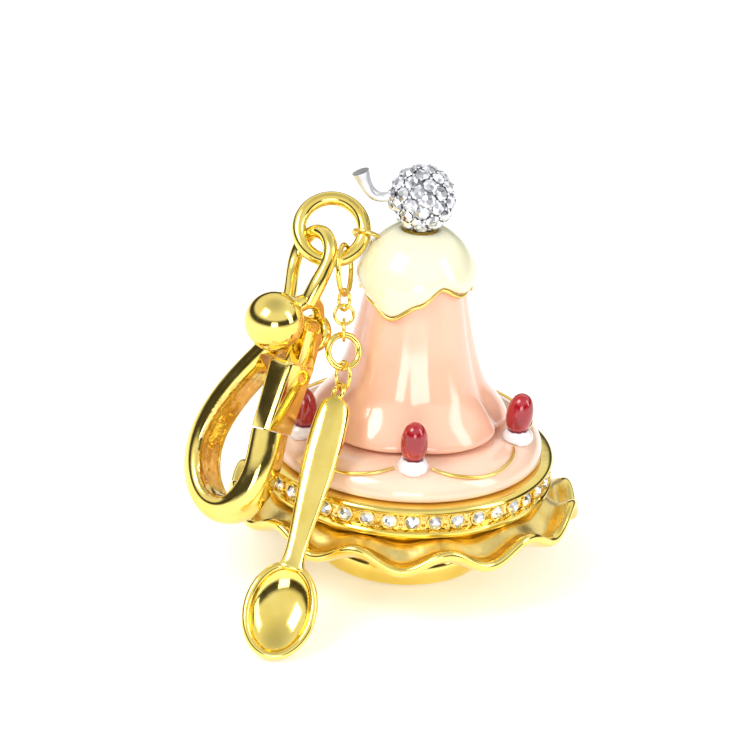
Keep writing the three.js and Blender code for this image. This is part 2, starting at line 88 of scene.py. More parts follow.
def backToObject():
    bpy.ops.object.mode_set(mode="OBJECT")


def bakePlace(obj, matrix=None):
    pick(obj)
    if matrix is not None:
        obj.matrix_world = matrix @ obj.matrix_world
        bpy.context.view_layer.update()
    bpy.ops.object.transform_apply(location=True, rotation=True, scale=True)


def applyAll(obj):
    pick(obj)
    for modifier in list(obj.modifiers):
        bpy.ops.object.modifier_apply(modifier=modifier.name)


def subdivide(obj, levels):
    rounding = obj.modifiers.new("rounding", "SUBSURF")
    rounding.levels = levels
    rounding.render_levels = levels
    applyAll(obj)


def cleanUp(obj, gap=1e-6):
    editAll(obj)
    bpy.ops.mesh.remove_doubles(threshold=gap)
    bpy.ops.mesh.normals_make_consistent(inside=False)
    backToObject()


def smooth(obj, angle=None):
    pick(obj)
    if angle is None:
        bpy.ops.object.shade_smooth()
    else:
        bpy.ops.object.shade_smooth_by_angle(angle=math.radians(angle))


def dress(obj, material):
    obj.data.materials.clear()
    obj.data.materials.append(material)


# the faces that a test picks get a second finish
def secondFinish(obj, material, wanted):
    obj.data.materials.append(material)
    for face in obj.data.polygons:
        if wanted(face):
            face.material_index = 1


# distance from the upright axis, in millimetres
def reachOf(point):
    return math.hypot(point.x, point.y) / mm


def joinPieces(first, others):
    deselectAll()
    for other in others:
        other.select_set(True)
    first.select_set(True)
    bpy.context.view_layer.objects.active = first
    bpy.ops.object.join()
    return first


# a finished piece has its name, its finish and its body
def finished(obj, name, body, material=None):
    obj.name = name
    obj.data.name = name
    if material is not None:
        dress(obj, material)
    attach(obj, body)


# a copy of a part with its doubled points merged
def cleanCopy(node):
    obj = bpy.data.objects.new(node + "_fine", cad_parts[node].data.copy())
    bpy.context.scene.collection.objects.link(obj)
    cleanUp(obj)
    return obj


# a finer, rounder copy; edges sharper than keep degrees are held by a crease
def roundedCopy(node, levels, keep=None):
    obj = cleanCopy(node)
    editAll(obj)
    bpy.ops.mesh.tris_convert_to_quads(face_threshold=math.radians(50), shape_threshold=math.radians(60))
    if keep is not None:
        bpy.ops.mesh.select_all(action="DESELECT")
        bpy.ops.mesh.edges_select_sharp(sharpness=math.radians(keep))
        bpy.ops.transform.edge_crease(value=0.3)
    backToObject()
    subdivide(obj, levels)
    smooth(obj)
    return obj


# a copy with its sharp edges rounded over
def beveledCopy(node, width):
    obj = cleanCopy(node)
    edge = obj.modifiers.new("softEdge", "BEVEL")
    edge.width = width * mm
    edge.segments = 3
    edge.limit_method = "ANGLE"
    edge.angle_limit = math.radians(40)
    applyAll(obj)
    smooth(obj, 35)
    return obj


def fatten(obj, amount):
    editAll(obj)
    bpy.ops.transform.shrink_fatten(value=amount * mm)
    backToObject()


# picks the points a test names, then moves or resizes them with their neighbours following
def softMove(obj, wanted, spread, move=None, grow=None, middle=(0, 0, 0)):
    editAll(obj)
    bpy.ops.mesh.select_mode(type="VERT")
    bpy.ops.mesh.select_all(action="DESELECT")
    backToObject()
    for vertex in obj.data.vertices:
        turn = math.degrees(math.atan2(vertex.co.x, -vertex.co.y))
        vertex.select = wanted(math.hypot(vertex.co.x, vertex.co.y) / mm, turn, vertex.co.z / mm)
    bpy.ops.object.mode_set(mode="EDIT")
    follow = dict(use_proportional_edit=True, proportional_edit_falloff="SMOOTH",
                  proportional_size=spread * mm)
    if move is not None:
        bpy.ops.transform.translate(value=[c * mm for c in move], **follow)
    if grow is not None:
        bpy.ops.transform.resize(value=grow, center_override=middle, **follow)
    backToObject()


# a turned piece: one point pulled along its profile, then spun about the upright axis
def turnedPiece(profile, steps, closed=False):
    r, z = profile[0]
    deselectAll()
    bpy.ops.mesh.primitive_plane_add(size=mm, location=(r * mm, 0, z * mm))
    obj = bpy.context.object
    bakePlace(obj)
    editAll(obj)
    bpy.ops.mesh.merge(type="CENTER")
    for (r0, z0), (r1, z1) in zip(profile, profile[1:]):
        move = ((r1 - r0) * mm, 0, (z1 - z0) * mm)
        bpy.ops.mesh.extrude_region_move(TRANSFORM_OT_translate={"value": move})
    bpy.ops.mesh.select_all(action="SELECT")
    if closed:
        bpy.ops.mesh.remove_doubles(threshold=1e-6)
    bpy.ops.mesh.spin(steps=steps, angle=2 * math.pi, center=(0, 0, 0), axis=(0, 0, 1))
    bpy.ops.mesh.select_all(action="SELECT")
    bpy.ops.mesh.remove_doubles(threshold=2e-6)
    bpy.ops.mesh.normals_make_consistent(inside=False)
    backToObject()
    return obj


# a bar along a path: round with that radius, or with its section drawn as a closed curve
def barAlong(points, section, cyclic=False, resolution=8, roundSection=False):
    deselectAll()
    bpy.ops.curve.primitive_nurbs_path_add()
    path = bpy.context.object
    spline = path.data.splines[0]
    spline.points.add(len(points) - len(spline.points))
    for point, place in zip(spline.points, points):
        point.co = (place[0] * mm, place[1] * mm, (place[2] if len(place) > 2 else 0) * mm, 1)
        point.radius = place[3] if len(place) > 3 else 1
    spline.order_u = 4
    spline.use_cyclic_u = cyclic
    spline.use_endpoint_u = not cyclic
    spline.resolution_u = resolution
    path.data.twist_mode = "MINIMUM" if roundSection else "Z_UP"
    path.data.use_fill_caps = not cyclic
    if roundSection:
        path.data.bevel_depth = section * mm
        path.data.bevel_resolution = 4
    else:
        bpy.ops.curve.primitive_bezier_circle_add(radius=mm)
        outline = bpy.context.object
        ring = outline.data.splines[0]
        ring.bezier_points.add(len(section) - len(ring.bezier_points))
        for point, (x, y) in zip(ring.bezier_points, section):
            point.co = (x * mm, y * mm, 0)
            point.handle_left_type = "AUTO"
            point.handle_right_type = "AUTO"
        ring.resolution_u = 4
        outline.data.dimensions = "2D"
        path.data.bevel_mode = "OBJECT"
        path.data.bevel_object = outline
    pick(path)
    bpy.ops.object.convert(target="MESH")
    if not roundSection:
        bpy.data.objects.remove(outline)
    cleanUp(path, 2e-6)
    return path


def ringPiece(at, normal, radius, wire, major, minor):
    deselectAll()
    turn = Vector(normal).to_track_quat("Z", "Y").to_euler()
    bpy.ops.mesh.primitive_torus_add(
        location=[c * mm for c in at], rotation=turn, major_radius=radius * mm, minor_radius=wire * mm,
        major_segments=major, minor_segments=minor)
    obj = bpy.context.object
    bakePlace(obj)
    smooth(obj)
    return obj


def newMaterial(name):
    material = bpy.data.materials.new(name)
    material.use_nodes = True
    nodes, links = material.node_tree.nodes, material.node_tree.links
    shader = nodes["Principled BSDF"]
    where = nodes.new("ShaderNodeTexCoord")
    return material, nodes, links, shader, where.outputs["Object"]


def noiseOn(nodes, links, where, scale, detail=3.0, roughness=0.5):
    noise = nodes.new("ShaderNodeTexNoise")
    noise.inputs["Scale"].default_value = scale
    noise.inputs["Detail"].default_value = detail
    noise.inputs["Roughness"].default_value = roughness
    links.new(where, noise.inputs["Vector"])
    return noise.outputs["Fac"]


def rampOn(nodes, links, value, stops):
    ramp = nodes.new("ShaderNodeValToRGB")
    links.new(value, ramp.inputs["Fac"])
    elements = ramp.color_ramp.elements
    while len(elements) < len(stops):
        elements.new(0.5)
    for element, (position, colour) in zip(elements, stops):
        element.position = position
        element.color = (*colour, 1)
    return ramp.outputs["Color"]


def rangeOn(nodes, links, value, low, high, fromLow=0.3, fromHigh=0.7):
    spread = nodes.new("ShaderNodeMapRange")
    spread.inputs["From Min"].default_value = fromLow
    spread.inputs["From Max"].default_value = fromHigh
    spread.inputs["To Min"].default_value = low
    spread.inputs["To Max"].default_value = high
    links.new(value, spread.inputs["Value"])
    return spread.outputs["Result"]


def bumpOn(nodes, links, shader, height, strength, depth):
    bump = nodes.new("ShaderNodeBump")
    bump.inputs["Strength"].default_value = strength
    bump.inputs["Distance"].default_value = depth * mm
    links.new(height, bump.inputs["Height"])
    links.new(bump.outputs["Normal"], shader.inputs["Normal"])


def metalFinish(name, light, dark, rough=(0.06, 0.16), patch=350, ripple=900, ripples=(0.25, 0.02)):
    material, nodes, links, shader, where = newMaterial(name)
    tone = noiseOn(nodes, links, where, patch, 4)
    links.new(rampOn(nodes, links, tone, [(0.3, dark), (0.62, light)]), shader.inputs["Base Color"])
    wear = noiseOn(nodes, links, where, patch * 2.3, 6, 0.6)
    links.new(rangeOn(nodes, links, wear, *rough), shader.inputs["Roughness"])
    shader.inputs["Metallic"].default_value = 1.0
    waves = noiseOn(nodes, links, where, ripple, 2)
    bumpOn(nodes, links, shader, waves, *ripples)
    return material


def enamelFinish(name, light, deep, rough=(0.1, 0.2), patch=120, soft=0.12):
    material, nodes, links, shader, where = newMaterial(name)
    tone = noiseOn(nodes, links, where, patch, 3)
    links.new(rampOn(nodes, links, tone, [(0.3, deep), (0.7, light)]), shader.inputs["Base Color"])
    cloud = noiseOn(nodes, links, where, patch * 5, 5)
    links.new(rangeOn(nodes, links, cloud, *rough), shader.inputs["Roughness"])
    shader.inputs["Coat Weight"].default_value = 0.8
    shader.inputs["Coat Roughness"].default_value = 0.1
    shader.inputs["Subsurface Weight"].default_value = soft
    shader.inputs["Subsurface Radius"].default_value = (0.0012, 0.0007, 0.0005)
    shader.inputs["Subsurface Scale"].default_value = 1.0
    skin = noiseOn(nodes, links, where, 420, 2)
    bumpOn(nodes, links, shader, skin, 0.12, 0.03)
    return material


goldPolished = metalFinish("goldPolished", (0.95, 0.76, 0.22), (0.88, 0.66, 0.14), ripples=(0.3, 0.03))
goldWire = metalFinish("goldWire", (0.92, 0.72, 0.24), (0.8, 0.55, 0.12), rough=(0.12, 0.25))
goldPitted = metalFinish("goldPitted", (0.95, 0.74, 0.26), (0.75, 0.5, 0.12), rough=(0.1, 0.24),
                         patch=1500, ripple=1700, ripples=(0.6, 0.09))
goldHammered = metalFinish("goldHammered", (0.95, 0.76, 0.28), (0.84, 0.6, 0.17), rough=(0.26, 0.4),
                           patch=600, ripple=620, ripples=(0.6, 0.12))
silverDark = metalFinish("silverDark", (0.5, 0.5, 0.52), (0.1, 0.1, 0.11), rough=(0.2, 0.4), patch=1200)
silverBright = metalFinish("silverBright", (0.85, 0.85, 0.87), (0.68, 0.68, 0.7),
                            rough=(0.28, 0.42), patch=900)
enamelPink = enamelFinish("enamelPink", (0.98, 0.56, 0.39), (0.96, 0.51, 0.35))
enamelPale = enamelFinish("enamelPale", (0.99, 0.69, 0.52), (0.97, 0.64, 0.47))
enamelCream = enamelFinish("enamelCream", (0.9, 0.87, 0.63), (0.87, 0.83, 0.57))
enamelRed = enamelFinish("enamelRed", (0.46, 0.004, 0.014), (0.28, 0.002, 0.008), patch=500, soft=0.03)
enamelWhite = enamelFinish("enamelWhite", (0.93, 0.91, 0.92), (0.86, 0.83, 0.86), patch=900)


# a stone finish whose base colour carries painted glints and painted shade
def gemWithPaintedGlints(name):
    material, nodes, links, shader, where = newMaterial(name)
    # the base colour is painted in dark, grey and white cells: painted reflections and painted shade that
    # stand for the sparkle of the facets
    paintedGlintCells = nodes.new("ShaderNodeTexVoronoi")
    paintedGlintCells.inputs["Scale"].default_value = 2600
    links.new(where, paintedGlintCells.inputs["Vector"])
    tones = [(0.0, (0.05, 0.05, 0.06)), (0.3, (0.5, 0.52, 0.56)), (0.62, (0.95, 0.96, 1.0))]
    links.new(rampOn(nodes, links, paintedGlintCells.outputs["Color"], tones), shader.inputs["Base Color"])
    cloud = noiseOn(nodes, links, where, 1800, 2)
    links.new(rangeOn(nodes, links, cloud, 0.02, 0.07), shader.inputs["Roughness"])
    shader.inputs["Metallic"].default_value = 0.55
    shader.inputs["IOR"].default_value = 1.9
    shader.inputs["Coat Weight"].default_value = 1.0
    shader.inputs["Coat Roughness"].default_value = 0.0
    return material


crystal = gemWithPaintedGlints("crystal")
print("finishes made")

# the foot
foot = dict(profile=[(0.02, 0), (7.2, 0), (7.55, 0.1), (7.7, 0.4), (7.7, 1.6), (7.55, 1.9), (7.3, 2.0),
                     (2.6, 2.0), (2.6, 1.0), (0.02, 1.0)])
obj = turnedPiece(foot["profile"], 96)
smooth(obj, 40)
finished(obj, "foot_turned", "pudding", goldPolished)
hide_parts("foot_disc")

# the dish
ruffle = dict(fatter=0.06, rim=14.2, sagTurns=((94, 128), (-122, -90)), sag=-1.7, sagSpread=3.5,
              inside=(11.3, 12.5), rise=1.35, riseSpread=2.0, hammered=14.95)
dish = roundedCopy("ruffled_dish", 3)
fatten(dish, ruffle["fatter"])
# the rim sags at both far sides, and the inside sweeps up to meet the band
for low, high in ruffle["sagTurns"]:
    softMove(dish, lambda reach, turn, z: reach > ruffle["rim"] and low < turn < high, ruffle["sagSpread"],
             move=(0, 0, ruffle["sag"]))
low, high = ruffle["inside"]
softMove(dish, lambda reach, turn, z: low < reach < high, ruffle["riseSpread"], move=(0, 0, ruffle["rise"]))
dress(dish, goldPolished)
secondFinish(dish, goldHammered,
             lambda face: face.normal.z > 0.2 and reachOf(face.center) < ruffle["hammered"])
finished(dish, "dish_fine", "pudding")
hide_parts("ruffled_dish")

# the band, pitted between its two rims
band = dict(pitted=((12.3, 12.7), (8.1, 9.4)),
            profile=[(1.3, 3.2), (7.7, 3.2), (11.4, 5.85), (12.0, 7.0), (12.6, 7.3), (12.85, 7.4),
                     (13.0, 7.52), (13.05, 7.68), (13.02, 7.86), (12.9, 7.98), (12.5, 8.05), (12.5, 9.45),
                     (12.85, 9.5),
                     (13.0, 9.62), (13.05, 9.78), (12.98, 9.95), (12.85, 10.07), (12.6, 10.14), (12.2, 10.16),
                     (1.3, 10.16), (1.3, 3.2)])
obj = turnedPiece(band["profile"], 128, closed=True)
smooth(obj, 35)
finished(obj, "band_turned", "pudding", goldPolished)
(near, far), (low, high) = band["pitted"]
secondFinish(obj, goldPitted,
             lambda face: near < reachOf(face.center) < far and low < face.center.z / mm < high)
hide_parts("crystal_band")


# one faceted stone: a crown with its table over a pointed back
def cutStone(radius, sides):
    deselectAll()
    bpy.ops.mesh.primitive_cone_add(vertices=sides, radius1=radius * mm, radius2=radius * 0.52 * mm,
                                    depth=radius * 0.42 * mm, location=(0, 0, radius * 0.21 * mm))
    crown = bpy.context.object
    bpy.ops.mesh.primitive_cone_add(vertices=sides, radius1=0, radius2=radius * mm,
                                    depth=radius * 0.5 * mm, location=(0, 0, -radius * 0.25 * mm))
    stone = joinPieces(crown, [bpy.context.object])
    bakePlace(stone)
    editAll(stone)
    bpy.ops.mesh.remove_doubles(threshold=1e-6)
    backToObject()
    return stone


# a bead small enough to need few faces
def seed(radius):
    deselectAll()
    bpy.ops.mesh.primitive_ico_sphere_add(subdivisions=1, radius=radius * mm)
    bead = bpy.context.object
    smooth(bead)
    return bead


# copies of one small shape, each set at a place with its top turned outwards
def scatter(sample, places, spin=0.0):
    copies = []
    for at, outward in places:
        copy = bpy.data.objects.new("copy", sample.data.copy())
        bpy.context.scene.collection.objects.link(copy)
        turn = Vector(outward).to_track_quat("Z", "Y").to_matrix().to_4x4()
        twist = Matrix.Rotation(random.uniform(0, spin), 4, "Z")
        copy.matrix_world = Matrix.Translation(Vector(at) * mm) @ turn @ twist
        copies.append(copy)
    joined = joinPieces(copies[0], copies[1:])
    bakePlace(joined)
    bpy.data.objects.remove(sample)
    return joined


def aroundAt(radius, degrees, z):
    a = math.radians(degrees)
    return (radius * math.sin(a), -radius * math.cos(a), z)


# round stones in cups, with four small beads between each two
row = dict(count=40, start=3.5, height=8.75, circle=12.62, stone=0.62, bead=0.13, beadCircle=12.84,
           beadLifts=(-0.44, 0.44), beadTurns=(4.05, 4.95), cupCircle=12.56, cup=0.66, cupWire=0.1)
stonePlaces = []
beadPlaces = []
cupPlaces = []
for n in range(row["count"]):
    turn = 360 * n / row["count"] + row["start"]
    out = aroundAt(1, turn, 0)
    stonePlaces.append((aroundAt(row["circle"], turn, row["height"]), out))
    cupPlaces.append((aroundAt(row["cupCircle"], turn, row["height"]), out))
    for lift in row["beadLifts"]:
        for further in row["beadTurns"]:
            beadPlaces.append((aroundAt(row["beadCircle"], turn + further, row["height"] + lift), out))
obj = scatter(cutStone(row["stone"], 10), stonePlaces, 0.6)
finished(obj, "band_stones", "pudding", crystal)
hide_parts("crystal_row")
obj = scatter(seed(row["bead"]), beadPlaces)
smooth(obj)
finished(obj, "band_beads", "pudding", goldWire)

deselectAll()
bpy.ops.mesh.primitive_torus_add(major_radius=row["cup"] * mm, minor_radius=row["cupWire"] * mm,
                                 major_segments=20, minor_segments=8)
obj = scatter(bpy.context.object, cupPlaces)
smooth(obj)
finished(obj, "band_cups", "pudding", goldWire)

# the tier and its four swags
tierPiece = dict(profile=[(1.3, 10.22), (11.6, 10.22), (11.85, 10.28), (11.98, 10.45), (12.0, 10.7),
                          (11.95, 11.0), (11.82, 11.35), (11.55, 11.75), (11.2, 12.08), (10.75, 12.38),
                          (10.2, 12.58),
                          (9.6, 12.71), (8.6, 12.8), (1.3, 12.82), (1.3, 10.22)])
obj = turnedPiece(tierPiece["profile"], 128, closed=True)
smooth(obj, 50)
finished(obj, "tier_turned", "pudding", enamelPale)
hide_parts("tier")
for n in range(1, 5):
    obj = roundedCopy("swag_%d" % n, 2)
    fatten(obj, 0.05)
    finished(obj, "swag_wire_%d" % n, "pudding", goldWire)
    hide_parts("swag_%d" % n)
print("dish, band and tier done")

# pudding, cap and berries
swell = dict(below=14.6, beyond=7.4, spread=3.0, grow=(1.08, 1.08, 1), middle=14)
obj = roundedCopy("pudding_body", 2, 70)
# the lobes swell at the foot
softMove(obj, lambda reach, turn, z: z < swell["below"] and reach > swell["beyond"], swell["spread"],
         grow=swell["grow"], middle=(0, 0, swell["middle"] * mm))
finished(obj, "pudding_fine", "pudding", enamelPink)
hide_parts("pudding_body")
obj = roundedCopy("custard_cap", 2, 75)
finished(obj, "cap_fine", "pudding", enamelCream)
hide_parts("custard_cap")
obj = roundedCopy("cap_trim", 2)
fatten(obj, 0.06)
finished(obj, "cap_wire", "pudding", goldWire)
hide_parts("cap_trim")
for n in range(1, 5):
    obj = roundedCopy("berry_%d" % n, 3)
    finished(obj, "berry_fine_%d" % n, "pudding", enamelRed)
    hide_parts("berry_%d" % n)
    obj = roundedCopy("cream_dollop_%d" % n, 2)
    finished(obj, "cream_fine_%d" % n, "pudding", enamelWhite)
    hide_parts("cream_dollop_%d" % n)
print("pudding done")

# the cherry
cherry = dict(centre=(0, 0, 33.45), core=2.62, stones=62, stone=0.63, stonesAt=2.68,
              bead=0.17, beadsAt=2.72, gap=0.75)


# evenly spread directions: a spiral, then each pushed off its neighbours in small steps
def spreadOver(count):
    golden = math.pi * (3 - math.sqrt(5))
    ways = []
    for i in range(count):
        z = 1 - 2 * (i + 0.5) / count
        r = math.sqrt(1 - z * z)
        ways.append(Vector((r * math.cos(golden * i), r * math.sin(golden * i), z)))
    for step in range(60):
        moved = []
        for a in ways:
            push = Vector((0, 0, 0))
            for b in ways:
                gap = a - b
                if 0 < gap.length < 0.9:
                    push += gap / gap.length ** 4
            moved.append((a + push * 0.0006).normalized())
        ways = moved
    return ways


stoneWays = spreadOver(cherry["stones"])
centre = Vector(cherry["centre"])
deselectAll()
bpy.ops.mesh.primitive_uv_sphere_add(segments=64, ring_count=32, radius=cherry["core"] * mm,
                                     location=centre * mm)
core = bpy.context.object
bakePlace(core)
smooth(core)
finished(core, "cherry_core", "pudding", silverDark)
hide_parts("cherry_ball")
obj = scatter(cutStone(cherry["stone"], 8), [(centre + w * cherry["stonesAt"], w) for w in stoneWays], 0.8)
finished(obj, "cherry_stones", "pudding", crystal)
# one bead in each gap where three stones meet
gaps = []
for i, a in enumerate(stoneWays):
    near = sorted(range(len(stoneWays)), key=lambda k: (stoneWays[k] - a).length)[1:7]
    for j in near:
        for k in near:
            if i < j < k and (stoneWays[j] - stoneWays[k]).length < cherry["gap"]:
                gaps.append(((a + stoneWays[j] + stoneWays[k]) / 3).normalized())
obj = scatter(seed(cherry["bead"]), [(centre + w * cherry["beadsAt"], w) for w in gaps])
smooth(obj)
finished(obj, "cherry_beads", "pudding", silverBright)
stem = dict(wire=0.58, path=[(-2.3, -0.1, 33.6, 0.8), (-3.3, -0.15, 33.3, 0.75), (-4.1, -0.2, 33.45, 0.8),
                            (-4.75, -0.2, 34.2, 0.92), (-5.1, -0.2, 35.0, 1.1), (-5.35, -0.2, 35.6, 1.35)])
obj = barAlong(stem["path"], stem["wire"], roundSection=True)
smooth(obj, 50)
finished(obj, "stem_fine", "pudding", silverBright)
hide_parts("cherry_stem")
print("cherry done")

# the heavy ring, its eyelet and the chain
heavyRing = dict(at=(-7.58, 0, 30.1), normal=(0, -0.78, 0.62), radius=2.8, wire=0.62)
obj = ringPiece(heavyRing["at"], heavyRing["normal"], heavyRing["radius"], heavyRing["wire"], 96, 24)
finished(obj, "heavy_ring", "ring", goldPolished)
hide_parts("big_ring")
obj = roundedCopy("hanger_eyelet", 2)
finished(obj, "eyelet_fine", "pudding", goldWire)
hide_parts("hanger_eyelet")

chain = dict(start=Vector((-6.24, -2.35, 27.4)), way=Vector((0.045, -0.43, -0.903)).normalized(),
             thinner=0.9)
# each ring: its node, how far down the chain, its turn, its radius and its wire
chainRings = [("jump_ring", 0, 14, 2.15, 0.25), ("chain_link_1", 2.58, -32, 0.88, 0.17),
              ("chain_link_2", 3.85, 78, 0.82, 0.17), ("chain_link_3", 5.15, 0, 0.9, 0.17),
              ("middle_ring", 6.98, 68, 1.42, 0.31), ("spoon_ring", 9.08, -30, 1.2, 0.19)]
for node, down, turn, radius, wire in chainRings:
    flat = Vector((1, 0, 0)) - chain["way"] * chain["way"].x
    normal = Matrix.Rotation(math.radians(turn), 4, chain["way"]) @ flat.normalized()
    obj = ringPiece(chain["start"] + chain["way"] * down, normal, radius, wire * chain["thinner"], 48, 14)
    finished(obj, node + "_round", node, goldPolished)
    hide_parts(node)
print("chain done")

# the clasp
clasp = dict(hinge=Vector((-10.15, -5.2, 23.0)), pin=Vector((-0.58, -0.69, 0.45)).normalized(),
             down=Vector((-0.225, -0.43, -0.87)), shrink=0.957, middle=(-2.8, -9.5, 0),
             room=0.1, gateAt=(0, 6, 12, 18.6), ball=2.55, ballAt=3.0, bar=0.64, loop=2.28,
             loopAt=(-0.95, -0.88, 6.3), loopLean=(0.22, 0.97), knuckle=(1.2, 0.5), knuckleAt=-2.8,
             hook=[(-1.0, -1.0), (-1.6, -2.0), (-2.9, -3.7), (-4.75, -6.3), (-6.3, -9.3), (-6.95, -12.4),
                   (-6.0, -15.6), (-3.5, -17.7), (-0.6, -17.2), (0.6, -14.7), (0.85, -12.2), (0.6, -10.6),
                   (0.55, -9.52)])
downWay = (clasp["down"] - clasp["pin"] * clasp["down"].dot(clasp["pin"])).normalized()
acrossWay = clasp["pin"].cross(downWay)
upWay = -downWay


# the clasp is modelled flat, then stood in its place: three axes and the hinge's centre
def claspPlace(x, y, z):
    turn = Matrix((x, y, z)).transposed().to_4x4()
    return Matrix.Translation(clasp["hinge"] * mm) @ turn


hookSection = [(-1.12, -1.2), (-1.12, 0), (-1.12, 1.2), (-0.7, 1.82), (0.25, 1.72), (0.95, 1.05), (1.2, 0),
               (0.95, -1.05), (0.25, -1.72), (-0.7, -1.82)]
hookPath = [(v * clasp["shrink"], w * clasp["shrink"], 0) for v, w in clasp["hook"]]
hook = barAlong(hookPath, hookSection, resolution=10)
smooth(hook, 50)
dress(hook, goldPolished)


# the side of the hook that faces the middle of its opening
def facesIn(face):
    inward = Vector(clasp["middle"]) * mm - face.center
    inward.z = 0
    return face.normal.dot(inward.normalized()) > 0.5


secondFinish(hook, goldPitted, facesIn)
bakePlace(hook, claspPlace(acrossWay, upWay, clasp["pin"]))
# the hook is cut back where the gate swings
pivot = Matrix.Translation(clasp["hinge"] * mm)
for degrees in clasp["gateAt"]:
    cutter = cleanCopy("gate")
    fatten(cutter, clasp["room"])
    bakePlace(cutter, pivot @ Matrix.Rotation(math.radians(-degrees), 4, clasp["pin"]) @ pivot.inverted())
    relief = hook.modifiers.new("relief", "BOOLEAN")
    relief.operation = "DIFFERENCE"
    relief.object = cutter
    relief.solver = "EXACT"
    applyAll(hook)
    bpy.data.objects.remove(cutter)
smooth(hook, 40)
finished(hook, "hook_fine", "clasp")
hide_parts("hook_body")

deselectAll()
bpy.ops.mesh.primitive_uv_sphere_add(segments=64, ring_count=40, radius=clasp["ball"] * mm,
                                     location=(0, 0, clasp["ballAt"] * mm))
obj = bpy.context.object
smooth(obj)
bakePlace(obj, claspPlace(acrossWay, upWay, clasp["pin"]))
finished(obj, "hook_ball", "clasp", goldPolished)

# each point of a path holds its place and how thick the bar is there
loopU, loopV, loopW = clasp["loopAt"]
leanU, leanV = clasp["loopLean"]
loopPath = [(1.3, -0.3, 0.9, 1), (0.4, -1.1, 1.9, 1), (-0.8, -2.2, 3.3, 0.95), (-1.35, -3.0, 4.9, 0.9)]
for degrees in range(180, -1, -30):
    off = clasp["loop"] * math.cos(math.radians(degrees))
    lift = clasp["loop"] * math.sin(math.radians(degrees))
    loopPath.append((loopU + leanU * off, loopV + leanV * off, loopW + lift, 1))
loopPath += [(-0.4, 1.1, 5.0, 1.08), (-0.2, 0.9, 3.9, 1.2), (-0.2, 0.5, 2.3, 1.2)]
yokePath = [(-2.8, 0, 0.9, 0.8), (-2.6, 0.1, 2.0, 0.85), (-1.3, 0.3, 2.8, 1), (0.2, 0.3, 2.4, 1.15),
            (1.6, 0, 1.1, 1.2)]
stands = claspPlace(clasp["pin"], acrossWay, upWay)
for name, path in (("eye_loop", loopPath), ("knuckle_arm", yokePath)):
    obj = barAlong(path, clasp["bar"], roundSection=True)
    smooth(obj, 60)
    bakePlace(obj, stands)
    finished(obj, name, "clasp", goldPolished)

deselectAll()
knuckleRadius, knuckleWire = clasp["knuckle"]
bpy.ops.mesh.primitive_torus_add(major_radius=knuckleRadius * mm, minor_radius=knuckleWire * mm,
                                 major_segments=64, minor_segments=20,
                                 location=(0, 0, clasp["knuckleAt"] * mm))
obj = bpy.context.object
smooth(obj)
bakePlace(obj, claspPlace(acrossWay, upWay, clasp["pin"]))
finished(obj, "hook_knuckle", "clasp", goldPolished)

obj = beveledCopy("gate", 0.1)
finished(obj, "gate_fine", "gate_lever", goldPolished)
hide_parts("gate")
print("clasp done")

# the spoon
spoon = dict(hang=1.46, bowl=(3.05, 1.75, 4.2), bowlAt=19.6, bowlCut=-0.16, bowlForward=0.28, wall=0.5,
             rim=(2.8, 3.95), rimWire=0.36, rimPoints=20, eye=(0.66, 0.22), block=(2.3, 0.9, 0.2),
             firstThick=0.45, thick=(0.36, 0.25),
             rows=[(0.5, 0.5), (0.7, 0.95), (1.1, 1.2), (2.0, 1.4), (4.5, 1.5), (7.5, 1.38), (10.5, 1.12),
                   (13.2, 0.86), (14.8, 0.84), (15.6, 1.05), (16.1, 1.3)])
# its length runs along z and its face looks along y until it is stood in its place
spoonWay = Vector((-0.195, -0.63, -0.752)).normalized()
spoonFace = Vector((0.055, -0.772, 0.629))
spoonFace = (spoonFace - spoonWay * spoonFace.dot(spoonWay)).normalized()
spoonSide = spoonWay.cross(spoonFace)
spoonEye = chain["start"] + chain["way"] * chainRings[-1][1] + spoonWay * spoon["hang"]
spoonTurn = Matrix((spoonSide, spoonFace, spoonWay)).transposed().to_4x4()
spoonPlace = Matrix.Translation(spoonEye * mm) @ spoonTurn
# the bowl is half an egg with a wall and a rolled rim
deselectAll()
bpy.ops.mesh.primitive_uv_sphere_add(segments=48, ring_count=32, radius=1)
bowl = bpy.context.object
editAll(bowl)
bpy.ops.mesh.bisect(plane_co=(0, spoon["bowlCut"], 0), plane_no=(0, 1, 0), clear_outer=True)
backToObject()
bowl.scale = [c * mm for c in spoon["bowl"]]
bowl.location = (0, spoon["bowlForward"] * mm, spoon["bowlAt"] * mm)
bakePlace(bowl)
wall = bowl.modifiers.new("wall", "SOLIDIFY")
wall.thickness = spoon["wall"] * mm
wall.offset = -1
applyAll(bowl)
smooth(bowl, 60)
rimAcross, rimAlong = spoon["rim"]
rimPath = []
for n in range(spoon["rimPoints"]):
    turn = 2 * math.pi * n / spoon["rimPoints"]
    rimPath.append((rimAcross * math.cos(turn), 0, spoon["bowlAt"] + rimAlong * math.sin(turn)))
rim = barAlong(rimPath, spoon["rimWire"], cyclic=True, roundSection=True)
smooth(rim)

